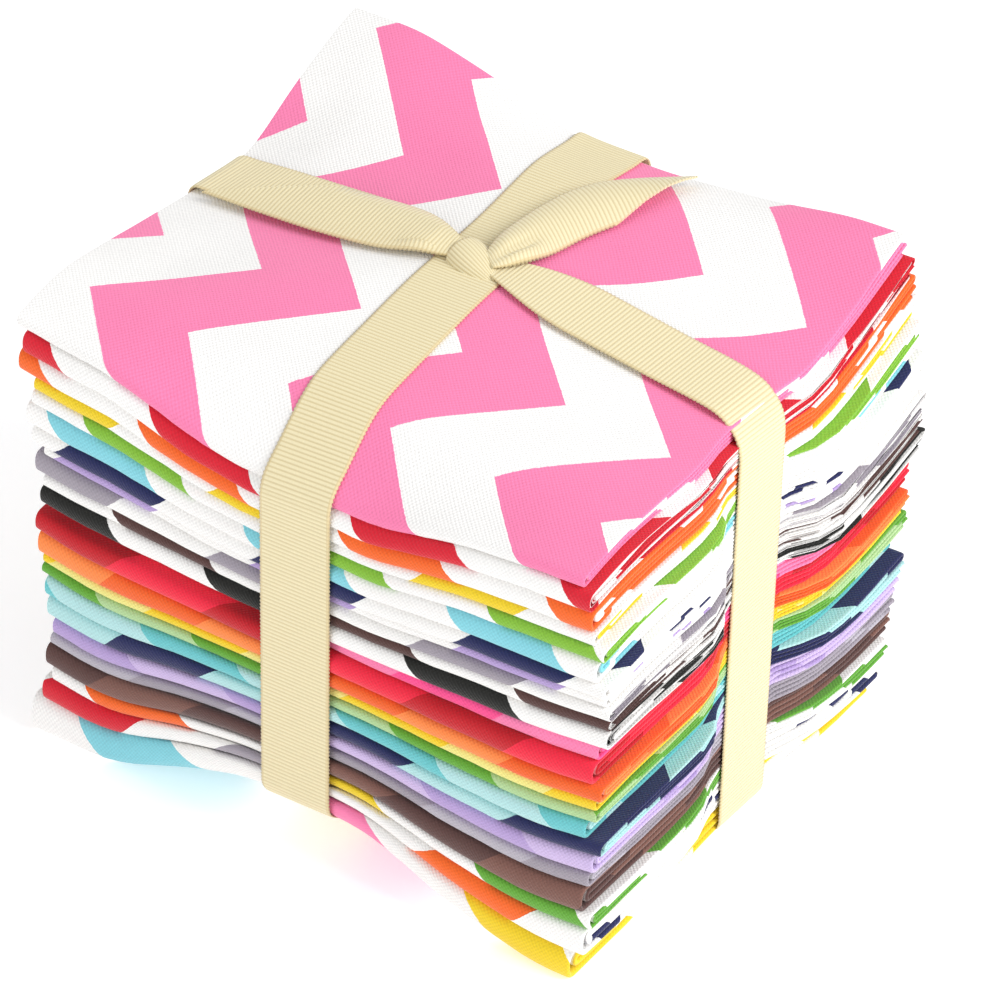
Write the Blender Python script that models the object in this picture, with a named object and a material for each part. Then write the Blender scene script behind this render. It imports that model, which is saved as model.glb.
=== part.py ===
"""A bundle of twenty-four folded fat quarters, tied both ways with grosgrain ribbon.

Each fat quarter is an 18 x 22 inch cut of quilting cotton. It is folded in four one way into a
strip, and the strip is folded in half twice, so that it lies as four layers with one fat fold at
the front (-Y) and its free ends at the back (+Y). The stack is pinched where the ribbon crosses
its edges and stands fuller at its corners. Lengths below are in millimetres.
"""

import math
from collections import namedtuple

import bmesh
import bpy
from mathutils import Vector

MM = 0.001

# Clearances: between two pieces, and between the layers of one cloth.
PIECE_GAP = 0.3
LAYER_GAP = 0.15
LAYERS = 4

# How far the turns of the inner layers sit back from those of the outer ones.
INNER_SETBACK = 0.6

# The points of the outer fold: shares of its reach, and of its half height up from the middle.
FOLD_ARC = ((0.72, -0.70), (1.0, 0.0), (0.72, 0.70))

COTTON_ROUGHNESS = 0.9
RIBBON_ROUGHNESS = 0.6

# Plan positions of the sections in which the stack's height is given. Each cloth's fold starts
# at the front section and its layers end at the back one.
SECTION_X = {"left": -70.0, "left_mid": -54.0, "tie_left": -13.0, "tie_right": 11.0,
             "right_mid": 58.0, "right": 76.0}
SECTION_Y = {"front": -57.2, "front_mid": -44.0, "tie_front": -6.0, "tie_back": 20.0,
             "back_mid": 42.0, "back": 57.0}

# Height of the stack's top and of its underside: a row for each section across the depth.
Heights = namedtuple("Heights", "left left_mid tie right_mid right")
TOP = {
    "front": Heights(110.0, 108.2, 99.5, 104.6, 105.2),
    "front_mid": Heights(112.8, 112.3, 110.5, 107.8, 107.2),
    "tie_front": Heights(108.5, 110.0, 114.0, 109.0, 106.3),
    "tie_back": Heights(107.0, 109.5, 114.0, 108.5, 104.3),
    "back_mid": Heights(116.0, 116.0, 116.0, 114.2, 113.0),
    "back": Heights(120.0, 120.4, 113.2, 118.8, 119.2),
}
UNDERSIDE = {
    "front": Heights(0.0, 0.0, 13.4, 0.0, 0.0),
    "front_mid": Heights(0.0, 0.0, 3.0, 0.0, 0.0),
    "tie_front": Heights(3.2, 1.8, 3.2, 1.8, 3.2),
    "tie_back": Heights(3.2, 1.8, 3.2, 1.8, 3.2),
    "back_mid": Heights(0.0, 0.0, 2.4, 0.0, 0.0),
    "back": Heights(0.0, 0.0, 6.5, 0.0, 0.0),
}

# One row for each cloth, from the top of the stack down. left and right are where its ends lie,
# front and back are how far its folds reach, skew is how far the back end is turned along X, and
# the last four are its share of the height at the left corner, at the front tie, at the front
# corner and at the right corner.
Cloth = namedtuple("Cloth", "name colour left right front back skew at_left at_tie at_front at_right")
CLOTHS = [
    Cloth("cloth_01_pink", (0.95, 0.25, 0.43), -70.0, 69.5, -59.6, 60.6, 0.4, 2.9, 3.2, 2.6, 5.0),
    Cloth("cloth_02_red", (0.75, 0.02, 0.04), -68.0, 71.5, -60.6, 60.8, -0.5, 5.2, 3.8, 4.8, 4.6),
    Cloth("cloth_03_orange", (0.93, 0.22, 0.05), -69.2, 71.9, -60.3, 61.4, 0.6, 5.4, 4.6, 5.2, 5.4),
    Cloth("cloth_04_yellow", (0.88, 0.68, 0.06), -66.4, 73.0, -59.8, 62.0, 0.0, 3.3, 2.8, 3.2, 4.0),
    Cloth("cloth_05_lime", (0.27, 0.55, 0.08), -66.0, 74.8, -60.2, 60.0, 0.7, 3.3, 3.1, 3.0, 3.5),
    Cloth("cloth_06_aqua", (0.26, 0.65, 0.72), -67.6, 73.8, -60.6, 61.0, -0.4, 5.8, 4.4, 5.8, 5.0),
    Cloth("cloth_07_navy", (0.02, 0.02, 0.10), -66.5, 75.8, -60.4, 61.2, 0.5, 4.1, 4.2, 3.2, 5.0),
    Cloth("cloth_08_lavender", (0.48, 0.34, 0.62), -64.7, 76.0, -59.4, 60.6, 0.0, 2.6, 2.6, 2.5, 4.6),
    Cloth("cloth_09_gray", (0.36, 0.32, 0.36), -66.2, 76.6, -60.0, 61.0, -0.6, 5.2, 3.1, 2.8, 5.0),
    Cloth("cloth_10_brown", (0.11, 0.05, 0.04), -64.7, 76.8, -59.7, 60.4, 0.3, 3.0, 2.8, 2.8, 4.6),
    Cloth("cloth_11_black", (0.01, 0.01, 0.01), -64.8, 76.6, -60.4, 61.4, 0.6, 4.2, 4.5, 4.4, 5.2),
    Cloth("cloth_12_pink_tonal", (0.90, 0.15, 0.35), -64.4, 74.6, -59.2, 62.4, 0.0, 2.5, 2.9, 4.4, 5.0),
    Cloth("cloth_13_red_tonal", (0.65, 0.02, 0.04), -66.0, 73.8, -60.8, 61.6, -0.5, 5.0, 5.2, 5.6, 4.6),
    Cloth("cloth_14_orange_tonal", (0.90, 0.20, 0.05), -65.8, 76.0, -60.5, 58.6, 0.4, 6.0, 4.2, 3.9, 3.4),
    Cloth("cloth_15_yellow_tonal", (0.80, 0.65, 0.12), -65.8, 74.6, -59.6, 60.0, 0.0, 2.6, 2.8, 3.2, 4.2),
    Cloth("cloth_16_green_tonal", (0.20, 0.48, 0.10), -65.4, 74.6, -59.9, 60.6, 0.5, 2.6, 2.8, 2.7, 4.2),
    Cloth("cloth_17_aqua_tonal", (0.15, 0.58, 0.60), -64.4, 72.6, -60.5, 59.6, -0.4, 5.2, 3.9, 4.8, 5.0),
    Cloth("cloth_18_navy_aqua", (0.02, 0.03, 0.12), -64.1, 76.0, -60.3, 58.6, 0.6, 5.6, 3.9, 3.7, 5.0),
    Cloth("cloth_19_lavender_tonal", (0.48, 0.34, 0.62), -63.4, 74.8, -60.0, 60.2, 0.0, 4.7, 3.8, 5.4, 7.0),
    Cloth("cloth_20_gray_tonal", (0.36, 0.33, 0.36), -63.9, 73.2, -59.8, 60.4, -0.5, 3.0, 3.2, 4.0, 6.2),
    Cloth("cloth_21_brown_tonal", (0.16, 0.08, 0.06), -64.8, 72.4, -60.6, 61.4, 0.4, 6.1, 4.6, 7.0, 6.0),
    Cloth("cloth_22_multi_white", (0.85, 0.45, 0.10), -64.3, 74.4, -59.7, 58.0, 0.0, 4.2, 2.9, 4.4, 4.2),
    Cloth("cloth_23_multi_red", (0.80, 0.10, 0.08), -66.2, 72.8, -60.2, 58.4, 0.5, 6.8, 3.4, 7.8, 6.6),
    Cloth("cloth_24_multi_aqua", (0.30, 0.70, 0.75), -70.0, 70.0, -60.0, 60.4, 0.0, 10.6, 5.2, 8.4, 7.0),
]

# The ribbon: its width and thickness, and the middle of each band at its two ends.
RIBBON_WIDTH = 17.0
RIBBON_THICK = 1.0
RIBBON_COLOUR = (0.80, 0.68, 0.42)
BAND_X_AT_FRONT = 1.5
BAND_X_AT_BACK = -3.5
BAND_Y_AT_RIGHT = 4.5
BAND_Y_AT_LEFT = 10.5

# Where a band turns over an edge of the stack: how far in from the stack's side it meets the top
# or the underside, how far past that level it leaves the side, and how far at the set-in point.
BandTurn = namedtuple("BandTurn", "set_in at_side at_set_in")
TURN_AT_FRONT = BandTurn(2.0, 5.2, 1.2)
TURN_AT_BACK = BandTurn(2.0, 4.0, 0.5)
TURN_AT_ENDS = BandTurn(0.4, 0.4, -0.4)

# The knot over the crossing, as lobes that all hold its middle: the turn of ribbon that wraps it
# on the slant, the gathered root of the left tail, and the creased root of the right one. x and y
# are from the knot's middle, sizes are half extents, and turn is in degrees from +X.
KNOT_AT = (-1.5, 7.5)
KNOT_ROUND = 24
KNOT_UP = 12
KnotLobe = namedtuple("KnotLobe", "x y along across up turn")
KNOT_LOBES = [
    KnotLobe(0.0, 0.0, 8.6, 5.2, 4.0, -40.0),
    KnotLobe(-4.6, -1.0, 5.8, 4.0, 2.4, 8.0),
    KnotLobe(3.2, 2.6, 5.4, 3.6, 2.7, 40.0),
]

# The free ends: root and tip in plan, how far they lie above the cloth there, and their sections.
Tail = namedtuple("Tail", "name root tip lift_at_root lift_at_tip sections")
TAILS = [
    Tail("ribbon_tail_left", (-12.6, 7.0), (-64.0, 3.0), 3.2, 1.8, 7),
    Tail("ribbon_tail_right", (6.8, 13.8), (27.0, 48.0), 3.4, 1.3, 6),
]
TAIL_ROOT_WIDTH = 0.45
TAIL_SPREAD_BY = 0.4

X_KNOTS = list(SECTION_X.values())
Y_KNOTS = list(SECTION_Y.values())
# The clear space round the stack in plan, and its middle, which is the part's origin.
LEFT = min(c.left - abs(c.skew) for c in CLOTHS) - PIECE_GAP
RIGHT = max(c.right + abs(c.skew) for c in CLOTHS) + PIECE_GAP
FRONT = min(c.front for c in CLOTHS) - PIECE_GAP
BACK = max(c.back for c in CLOTHS) + PIECE_GAP
MIDDLE_X = (LEFT + RIGHT) / 2
MIDDLE_Y = (FRONT + BACK) / 2


def clear_scene():
    for old in list(bpy.data.objects):
        bpy.data.objects.remove(old, do_unlink=True)


def row_heights(row):
    """A row of the height tables, a value for each section along X."""
    return [row.left, row.left_mid, row.tie, row.tie, row.right_mid, row.right]


def share_above(index, column, back):
    """Share of the stack's height taken by the cloths above interface index, in a column."""
    def weight(cloth):
        front = {"left": cloth.at_left, "tie": cloth.at_tie, "right": cloth.at_front}[column]
        behind = {"left": (cloth.at_left + cloth.at_right) / 2,
                  "tie": (cloth.at_tie + cloth.at_right) / 2,
                  "right": cloth.at_right}[column]
        return front + (behind - front) * back
    weights = [weight(cloth) for cloth in CLOTHS]
    return sum(weights[:index]) / sum(weights)


def mix(a, b, t):
    return a + (b - a) * t


def interface_table(index):
    """Heights of the surface under the first index cloths, a row for each section in Y."""
    table = []
    for y_name, y in SECTION_Y.items():
        back = (y - Y_KNOTS[0]) / (Y_KNOTS[-1] - Y_KNOTS[0])
        shares = {c: share_above(index, c, back) for c in ("left", "tie", "right")}
        tie_x = (SECTION_X["tie_left"] + SECTION_X["tie_right"]) / 2
        row = []
        for x, top, under in zip(X_KNOTS, row_heights(TOP[y_name]), row_heights(UNDERSIDE[y_name])):
            if x < tie_x:
                t = min(1.0, (x - X_KNOTS[0]) / (SECTION_X["tie_left"] - X_KNOTS[0]))
                share = mix(shares["left"], shares["tie"], t)
            else:
                t = max(0.0, (x - SECTION_X["tie_right"]) / (X_KNOTS[-1] - SECTION_X["tie_right"]))
                share = mix(shares["tie"], shares["right"], t)
            row.append(mix(top, under, share))
        table.append(row)
    return table


def cell(knots, value):
    """Index of the section interval that holds value, and how far along it value lies."""
    last = len(knots) - 2
    i = 0
    while i < last and value > knots[i + 1]:
        i += 1
    return i, (value - knots[i]) / (knots[i + 1] - knots[i])


def along_y(column, y):
    """Height at y on the straight runs between the sections of one X column."""
    j, t = cell(Y_KNOTS, y)
    return mix(column[j], column[j + 1], t)


def column_at(table, x, turn):
    """Heights of a surface along a line across it that starts at x and is turned by turn."""
    column = []
    for y, row in zip(Y_KNOTS, table):
        i, t = cell(X_KNOTS, x + turn * y)
        column.append(mix(row[i], row[i + 1], t))
    return column


def facet_height(table, x, y):
    """Height of the faceted surface, whose cells all split from front left to back right."""
    i, s = cell(X_KNOTS, x)
    j, t = cell(Y_KNOTS, y)
    front_left, front_right = table[j][i], table[j][i + 1]
    back_left, back_right = table[j + 1][i], table[j + 1][i + 1]
    if s >= t:
        return front_left + (front_right - front_left) * s + (back_right - front_right) * t
    return front_left + (back_right - back_left) * s + (back_left - front_left) * t


def folded_section(cloth, low, high):
    """Ring of (y, z) points round the four layers of a cloth, folded in half twice."""
    front_turn, back_turn = Y_KNOTS[0], Y_KNOTS[-1]

    def line(layer, side, start, end):
        """Points along the lower (side 0) or upper (side 1) face of a layer."""
        stations = Y_KNOTS[1:-1] if start < end else Y_KNOTS[-2:0:-1]
        points = []
        for y in [start] + stations + [end]:
            z_low = along_y(low, y)
            height = along_y(high, y) - z_low
            thick = (height - (LAYERS - 1) * LAYER_GAP) / LAYERS
            points.append((y, z_low + layer * (thick + LAYER_GAP) + side * thick))
        return points

    def between(y, first, last):
        """Height halfway between the outer faces of layers first and last, along the slope."""
        z_low, z_high = along_y(low, y), along_y(high, y)
        return z_low + (z_high - z_low) * (first + last) / (2 * LAYERS)

    half = (along_y(high, front_turn) - along_y(low, front_turn)) / 2
    thick = half * 2 / LAYERS
    outer_turn = []
    for along, up in FOLD_ARC:
        y = mix(front_turn, cloth.front, along)
        outer_turn.append((y, between(y, 0, LAYERS) + half * up))
    inside_tip = cloth.front + thick
    inner_tip = inside_tip + INNER_SETBACK
    inner_turn = front_turn + INNER_SETBACK
    core = front_turn + 2 * INNER_SETBACK
    back_core = back_turn - INNER_SETBACK

    ring = line(0, 0, back_turn, front_turn)
    ring += outer_turn
    ring += line(3, 1, front_turn, back_turn)
    ring += [(cloth.back, between(cloth.back, 2, LAYERS))]
    ring += line(2, 0, back_turn, core)
    ring += line(1, 1, core, back_turn)
    ring += line(1, 0, back_turn, inner_turn)
    ring += [(inner_tip, between(inner_tip, 0, LAYERS))]
    ring += line(2, 1, inner_turn, back_core)
    ring += line(3, 0, back_core, front_turn)
    ring += [(inside_tip, between(inside_tip, 0, LAYERS))]
    ring += line(0, 1, front_turn, back_turn)
    return ring


def finish_mesh(name, mesh_maker, colour, roughness, collection):
    """An object from a bmesh, with a fabric material of its own."""
    mesh = bpy.data.meshes.new(name)
    mesh_maker.normal_update()
    mesh_maker.to_mesh(mesh)
    mesh_maker.free()
    material = bpy.data.materials.new(name + "_fabric")
    material.use_nodes = True
    shader = material.node_tree.nodes["Principled BSDF"]
    shader.inputs["Base Color"].default_value = (*colour, 1.0)
    shader.inputs["Roughness"].default_value = roughness
    shader.inputs["Metallic"].default_value = 0.0
    mesh.materials.append(material)
    obj = bpy.data.objects.new(name, mesh)
    collection.objects.link(obj)
    return obj


def to_metres(x, y, z):
    return Vector(((x - MIDDLE_X) * MM, (y - MIDDLE_Y) * MM, z * MM))


def folded_cloth(cloth, under, over, clear_under, clear_over, collection):
    """Loft of a cloth's folded section through its stations along X."""
    stations = [cloth.left] + X_KNOTS[1:-1] + [cloth.right]
    rings = []
    maker = bmesh.new()
    for place, x in enumerate(stations):
        at_end = place in (0, len(stations) - 1)
        turn = cloth.skew / Y_KNOTS[-1] if at_end else 0.0
        low = [z + clear_under for z in column_at(under, x, turn)]
        high = [z - clear_over for z in column_at(over, x, turn)]
        section = folded_section(cloth, low, high)
        rings.append([maker.verts.new(to_metres(x + turn * y, y, z)) for y, z in section])
    count = len(rings[0])
    for left_ring, right_ring in zip(rings, rings[1:]):
        for p in range(count):
            q = (p + 1) % count
            a, b, c, d = left_ring[p], right_ring[p], right_ring[q], left_ring[q]
            if d.co.y > a.co.y:
                maker.faces.new((a, c, b))
                maker.faces.new((a, d, c))
            else:
                maker.faces.new((a, d, b))
                maker.faces.new((d, c, b))
    maker.faces.new(rings[0])
    maker.faces.new(rings[-1][::-1])
    bmesh.ops.recalc_face_normals(maker, faces=maker.faces)
    return finish_mesh(cloth.name, maker, cloth.colour, COTTON_ROUGHNESS, collection)


def ribbon_strip(name, sections, is_loop, collection):
    """A ribbon: a rectangle carried along a run of (middle of its inner face, half width, out)."""
    maker = bmesh.new()
    rings = []
    for middle, half_width, outward in sections:
        edges = (middle - half_width, middle + half_width)
        outer = [spot + outward * RIBBON_THICK for spot in reversed(edges)]
        rings.append([maker.verts.new(to_metres(*spot)) for spot in (*edges, *outer)])
    corners = len(rings[0])
    followers = rings[1:] + rings[:1] if is_loop else rings[1:]
    for ring, following in zip(rings, followers):
        for p in range(corners):
            q = (p + 1) % corners
            maker.faces.new((ring[p], ring[q], following[q], following[p]))
    if not is_loop:
        maker.faces.new(rings[0])
        maker.faces.new(rings[-1][::-1])
    bmesh.ops.recalc_face_normals(maker, faces=maker.faces)
    return finish_mesh(name, maker, RIBBON_COLOUR, RIBBON_ROUGHNESS, collection)


def outward_normals(profile):
    """Unit normals that point out of a loop of (along, z), run front, top, back, underside."""
    normals = []
    count = len(profile)
    for i, (a, z) in enumerate(profile):
        before, after = profile[i - 1], profile[(i + 1) % count]
        da, dz = after[0] - before[0], after[1] - before[1]
        length = (da * da + dz * dz) ** 0.5
        normals.append((-dz / length, da / length))
    return normals


def band_profile(knots, top_line, under_line, near, far, near_turn, far_turn):
    """Loop of (along, z) for the inner face of a band round the stack."""
    near_in, far_in = near + near_turn.set_in, far - far_turn.set_in
    top_near, top_far = top_line[0], top_line[-1]
    under_near, under_far = under_line[0], under_line[-1]
    profile = [(near, under_near + near_turn.at_side), (near, top_near - near_turn.at_side)]
    profile += [(near_in, top_near - near_turn.at_set_in)]
    profile += [(a, z + PIECE_GAP) for a, z in zip(knots, top_line)]
    profile += [(far_in, top_far - far_turn.at_set_in)]
    profile += [(far, top_far - far_turn.at_side), (far, under_far + far_turn.at_side)]
    profile += [(far_in, under_far + far_turn.at_set_in)]
    profile += [(a, z - PIECE_GAP) for a, z in zip(knots[::-1], under_line[::-1])]
    profile += [(near_in, under_near + near_turn.at_set_in)]
    return profile


def ribbon_bands(top, under, collection):
    """The two bands of the tie: one over the front and back, one over the two ends."""
    front, back = FRONT - PIECE_GAP, BACK + PIECE_GAP
    left, right = LEFT - PIECE_GAP, RIGHT + PIECE_GAP
    tie_column = X_KNOTS.index(SECTION_X["tie_left"])
    tie_row = Y_KNOTS.index(SECTION_Y["tie_front"])

    half = RIBBON_WIDTH / 2
    lengthwise = band_profile(Y_KNOTS, [row[tie_column] for row in top],
                              [row[tie_column] for row in under], front, back,
                              TURN_AT_FRONT, TURN_AT_BACK)
    sections = []
    for (y, z), (ny, nz) in zip(lengthwise, outward_normals(lengthwise)):
        x = mix(BAND_X_AT_FRONT, BAND_X_AT_BACK, (y - front) / (back - front))
        sections.append((Vector((x, y, z)), Vector((half, 0.0, 0.0)), Vector((0.0, ny, nz))))
    ribbon_strip("ribbon_front_to_back", sections, True, collection)

    over = RIBBON_THICK + PIECE_GAP
    crossing = (SECTION_X["tie_left"], SECTION_X["tie_right"])
    crosswise = band_profile(X_KNOTS, top[tie_row], under[tie_row], left, right,
                             TURN_AT_ENDS, TURN_AT_ENDS)
    sections = []
    for (x, z), (nx, nz) in zip(crosswise, outward_normals(crosswise)):
        y = mix(BAND_Y_AT_LEFT, BAND_Y_AT_RIGHT, (x - left) / (right - left))
        lift = math.copysign(over, nz) if x in crossing else 0.0
        sections.append((Vector((x, y, z + lift)), Vector((0.0, half, 0.0)), Vector((nx, 0.0, nz))))
    ribbon_strip("ribbon_side_to_side", sections, True, collection)


def lobe_reach(lobe, direction):
    """How far a lobe reaches from the knot's middle in a unit direction."""
    turn = math.radians(lobe.turn)
    axes = ((Vector((math.cos(turn), math.sin(turn), 0.0)), lobe.along),
            (Vector((-math.sin(turn), math.cos(turn), 0.0)), lobe.across),
            (Vector((0.0, 0.0, 1.0)), lobe.up))
    centre = Vector((lobe.x, lobe.y, 0.0))
    ray = Vector([direction.dot(axis) / size for axis, size in axes])
    start = Vector([-centre.dot(axis) / size for axis, size in axes])
    a, b, c = ray.dot(ray), ray.dot(start), start.dot(start) - 1.0
    return (-b + math.sqrt(b * b - a * c)) / a


def ribbon_knot(top, collection):
    """The tied knot: its lobes in one lump, with a flat underside over the crossing."""
    seat = facet_height(top, *KNOT_AT) + 2 * (RIBBON_THICK + PIECE_GAP) + 2 * PIECE_GAP
    middle = Vector((*KNOT_AT, seat))
    maker = bmesh.new()
    bmesh.ops.create_uvsphere(maker, u_segments=KNOT_ROUND, v_segments=KNOT_UP, radius=1.0)
    for vertex in maker.verts:
        direction = vertex.co.normalized()
        spot = direction * max(lobe_reach(lobe, direction) for lobe in KNOT_LOBES)
        spot.z = max(spot.z, 0.0)
        vertex.co = to_metres(*(middle + spot))
    bmesh.ops.dissolve_degenerate(maker, dist=PIECE_GAP * MM / 10, edges=maker.edges)
    return finish_mesh("ribbon_knot", maker, RIBBON_COLOUR, RIBBON_ROUGHNESS, collection)


def ribbon_tail(tail, top, collection):
    """A free end that runs out of the knot and lies along the top of the stack."""
    root, tip = Vector(tail.root), Vector(tail.tip)
    direction = (tip - root).normalized()
    across = Vector((-direction.y, direction.x))
    sections = []
    for i in range(tail.sections):
        t = i / (tail.sections - 1)
        spot = root.lerp(tip, t)
        half = RIBBON_WIDTH / 2 * mix(TAIL_ROOT_WIDTH, 1.0, min(1.0, t / TAIL_SPREAD_BY))
        edges = (spot - across * half, spot, spot + across * half)
        z = max(facet_height(top, *edge) for edge in edges)
        z += mix(tail.lift_at_root, tail.lift_at_tip, t)
        sections.append((Vector((*spot, z)), Vector((*(across * half), 0.0)), Vector((0.0, 0.0, 1.0))))
    return ribbon_strip(tail.name, sections, False, collection)


def build():
    clear_scene()
    collection = bpy.data.collections.new("fat_quarter_bundle")
    bpy.context.scene.collection.children.link(collection)
    surfaces = [interface_table(i) for i in range(len(CLOTHS) + 1)]
    clearances = [0.0] + [PIECE_GAP / 2] * (len(CLOTHS) - 1) + [0.0]
    for i, cloth in enumerate(CLOTHS):
        folded_cloth(cloth, surfaces[i + 1], surfaces[i], clearances[i + 1], clearances[i],
                     collection)
    ribbon_bands(surfaces[0], surfaces[-1], collection)
    ribbon_knot(surfaces[0], collection)
    for tail in TAILS:
        ribbon_tail(tail, surfaces[0], collection)


build()
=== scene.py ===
"""The looks of a bundle of twenty-four fat quarters, tied both ways with grosgrain ribbon.

Each cloth is one sheet, folded as a shop folds it: in four across, then in half twice. Its print
is laid out in the flat sheet's own measure, so that it runs on round every fold. Lengths are in
millimetres unless a name says otherwise.
"""

import math
from collections import namedtuple

import bmesh
import bpy
import numpy as np
from mathutils import Matrix, Vector
from mathutils.bvhtree import BVHTree


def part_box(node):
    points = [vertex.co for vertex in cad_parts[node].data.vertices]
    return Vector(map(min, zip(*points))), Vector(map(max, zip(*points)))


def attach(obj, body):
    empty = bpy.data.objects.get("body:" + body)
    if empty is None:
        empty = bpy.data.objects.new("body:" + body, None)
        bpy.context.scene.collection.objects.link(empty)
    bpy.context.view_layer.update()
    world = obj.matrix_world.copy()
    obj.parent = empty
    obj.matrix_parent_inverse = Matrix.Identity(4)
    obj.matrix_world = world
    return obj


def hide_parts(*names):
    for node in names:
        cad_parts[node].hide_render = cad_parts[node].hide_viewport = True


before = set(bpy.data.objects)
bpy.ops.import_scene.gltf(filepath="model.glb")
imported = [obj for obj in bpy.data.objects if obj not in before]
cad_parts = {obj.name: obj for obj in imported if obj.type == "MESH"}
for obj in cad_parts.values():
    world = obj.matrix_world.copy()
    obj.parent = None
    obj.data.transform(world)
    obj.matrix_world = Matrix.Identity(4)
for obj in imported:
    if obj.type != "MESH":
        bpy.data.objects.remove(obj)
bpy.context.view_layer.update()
MM = 0.001

# The view: a long lens a little over a metre away, looking down on the bundle's front corner and
# leaning by a degree and a half.
camera_data = bpy.data.cameras.new("camera")
camera_data.lens = 198.0
camera_data.sensor_width = 36.0
camera = bpy.data.objects.new("camera", camera_data)
bpy.context.scene.collection.objects.link(camera)
look_at = Vector((0.0019, 0.0067, 0.055))
camera_distance_m = 1.1693
turned, raised, leaning = math.radians(33.48), math.radians(36.78), math.radians(1.50)
level = math.cos(raised)
backwards = Vector((math.sin(turned) * level, -math.cos(turned) * level, math.sin(raised)))
level = Vector((0, 0, 1)).cross(backwards).normalized()
upright = backwards.cross(level)
rightwards = level * math.cos(leaning) + upright * math.sin(leaning)
upwards = upright * math.cos(leaning) - level * math.sin(leaning)
turned_to_view = Matrix((rightwards, upwards, backwards)).transposed().to_4x4()
camera.matrix_world = Matrix.Translation(look_at + backwards * camera_distance_m) @ turned_to_view
bpy.context.scene.camera = camera

# The ground is a plain white sheet, and the light a wide soft box over the right shoulder with a
# weaker one opposite, as for a shop's pictures.
bpy.context.scene.view_settings.view_transform = "Standard"
ground_reach_m = 3.0
ground_mesh = bpy.data.meshes.new("ground")
corners = [(-1, -1, 0), (1, -1, 0), (1, 1, 0), (-1, 1, 0)]
ground_mesh.from_pydata([Vector(c) * ground_reach_m for c in corners], [], [(0, 1, 2, 3)])
ground = bpy.data.objects.new("ground", ground_mesh)
bpy.context.scene.collection.objects.link(ground)
ground_white = bpy.data.materials.new("ground_white")
ground_white.use_nodes = True
ground_shader = ground_white.node_tree.nodes["Principled BSDF"]
ground_shader.inputs["Base Color"].default_value = (0.88, 0.88, 0.88, 1.0)
ground_shader.inputs["Roughness"].default_value = 0.8
ground_shader.inputs["Emission Color"].default_value = (1.0, 1.0, 1.0, 1.0)
ground_shader.inputs["Emission Strength"].default_value = 0.38
ground_mesh.materials.append(ground_white)

sky = bpy.data.worlds.new("studio")
sky.use_nodes = True
sky.node_tree.nodes["Background"].inputs["Color"].default_value = (0.97, 0.98, 1.0, 1.0)
sky.node_tree.nodes["Background"].inputs["Strength"].default_value = 0.66
bpy.context.scene.world = sky


def soft_box(name, place_m, side_m, watts):
    """A square light that faces the bundle."""
    light = bpy.data.lights.new(name, "AREA")
    light.shape = "SQUARE"
    light.size = side_m
    light.energy = watts
    holder = bpy.data.objects.new(name, light)
    holder.location = place_m
    aim = (Vector((0, 0, 0.06)) - Vector(place_m)).to_track_quat("-Z", "Y")
    holder.rotation_euler = aim.to_euler()
    bpy.context.scene.collection.objects.link(holder)


soft_box("key_light", (1.15, 0.15, 0.95), 0.8, 15.0)
soft_box("fill_light", (-0.5, -1.3, 0.8), 0.9, 4.5)

# The stack of fat quarters: each an 18 x 22 inch cut of printed quilting cotton, folded in four
# across its length into a strip, and the strip in half twice. They lie with the fat fold to the
# front, and the stack is drawn in where the ribbon crosses its edges.
PLIES = 4
LAYERS = 4
STRIPE = 25.4
PRESSED_TOGETHER = 0.1
FOLD_DEPTH = 0.85
FOLD_FULLNESS = 0.8
CUT_EDGE_THICK = 0.8
THREAD_PITCH = 0.5
LAYER_NESTLED = 0.85

# Most cloths show the strip's fold at the right end, and these show its cut edges there.
CUT_EDGES_TO_RIGHT = ("cloth_02_red", "cloth_09_gray", "cloth_10_brown", "cloth_11_black")
# How far a cloth's front fold sits behind its neighbours' on the left half.
SET_BACK = {"cloth_12_pink_tonal": 2.0}
# The tie draws the right ends in to one line, and rounds the stack's top corner there.
DRAWN_TO_X, DRAWN_AT_Y, DRAWN_HALF, DRAWN_EASE = 66.4, 3.7, 8.5, 9.0
CORNER_ROUND = 6.0
# The back left corner stands proud, as the cloths spring up there: by how much, and over which
# stretch to the left and to the back.
SPRING_UP, STACK_HEIGHT = 3.2, 120.0
SPRING_LEFT_FROM, SPRING_LEFT_OVER = 5.0, 55.0
SPRING_BACK_FROM, SPRING_BACK_OVER = 15.0, 42.0
# How finely a cloth is laid out: across its outer and inner plies, and along each layer.
OUTER_ACROSS, INNER_ACROSS, ALONG_LAYER = 38, 22, 20
TOP_CLOTH_ACROSS, TOP_CLOTH_ALONG = 72, 60
# How far the layers' free ends and inner folds stand back from each other.
LOWER_END_BACK, INNER_END_OUT, INNER_FOLD_BACK = 0.6, 0.9, 0.9
FREE_END_TURN = 0.4
# The print shows through weakly on the cloth's reverse and along its cut edges.
REVERSE_SHOWS, CUT_EDGE_SHOWS = 0.4, 0.45

DYES = {
    "white": (247, 245, 242), "pink": (250, 130, 176), "red": (215, 28, 48), "orange": (245, 106, 38),
    "yellow": (240, 208, 40), "lime": (132, 188, 58), "aqua": (132, 208, 220), "navy": (38, 42, 88),
    "lavender": (182, 158, 210), "gray": (160, 152, 162), "brown": (88, 60, 56), "black": (32, 32, 29),
    "hot pink": (250, 80, 145), "deep red": (196, 26, 38), "bright red": (240, 40, 66),
    "deep orange": (240, 100, 38), "pale orange": (252, 138, 70), "butter": (238, 228, 132),
    "leaf": (100, 168, 56), "pale leaf": (176, 210, 150), "teal": (106, 196, 200),
    "pale aqua": (178, 222, 222), "pale lavender": (205, 184, 226), "pale gray": (182, 176, 186),
    "deep brown": (92, 64, 60), "cocoa": (124, 86, 76),
}

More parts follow.
